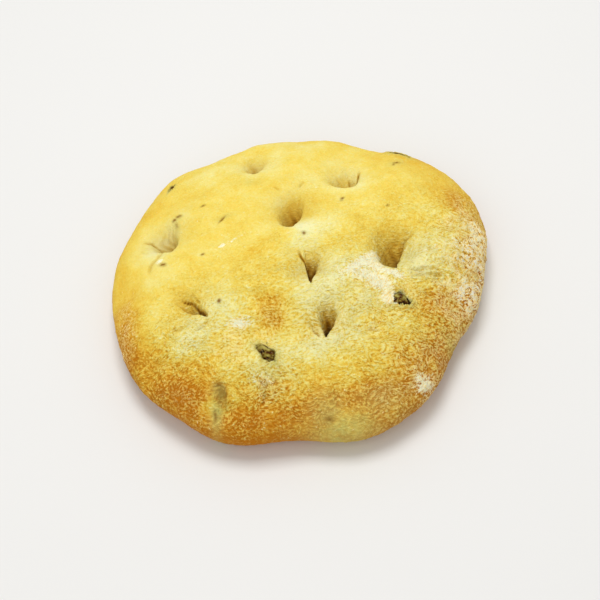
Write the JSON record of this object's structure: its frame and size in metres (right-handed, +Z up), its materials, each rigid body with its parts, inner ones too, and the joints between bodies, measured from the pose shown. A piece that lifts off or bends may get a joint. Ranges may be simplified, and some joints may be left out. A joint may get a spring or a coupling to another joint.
{
  "type": "olive focaccia",
  "caption": "Small round focaccia, a golden finger-dimpled bread dusted with flour, with pieces of olive in the crust and a flat underside.",
  "frame": {"origin": "the middle of the bottom of the bounding box, on the flat underside", "axes": "+Z up, out of the dimpled top; +Y towards the far edge as the picture's camera looks, +X to its right"},
  "size_m": [0.1762, 0.1742, 0.037],
  "materials": {
    "crust": "matte baked bread crust, golden, browned at the rim, with flour",
    "olive": "dark wrinkled olive with a soft oily sheen"
  },
  "bodies": {
    "root": {"loaf": "crust", "olive_near": "olive", "olive_right": "olive", "olive_far": "olive", "olive_left": "olive"}
  },
  "joints": []
}
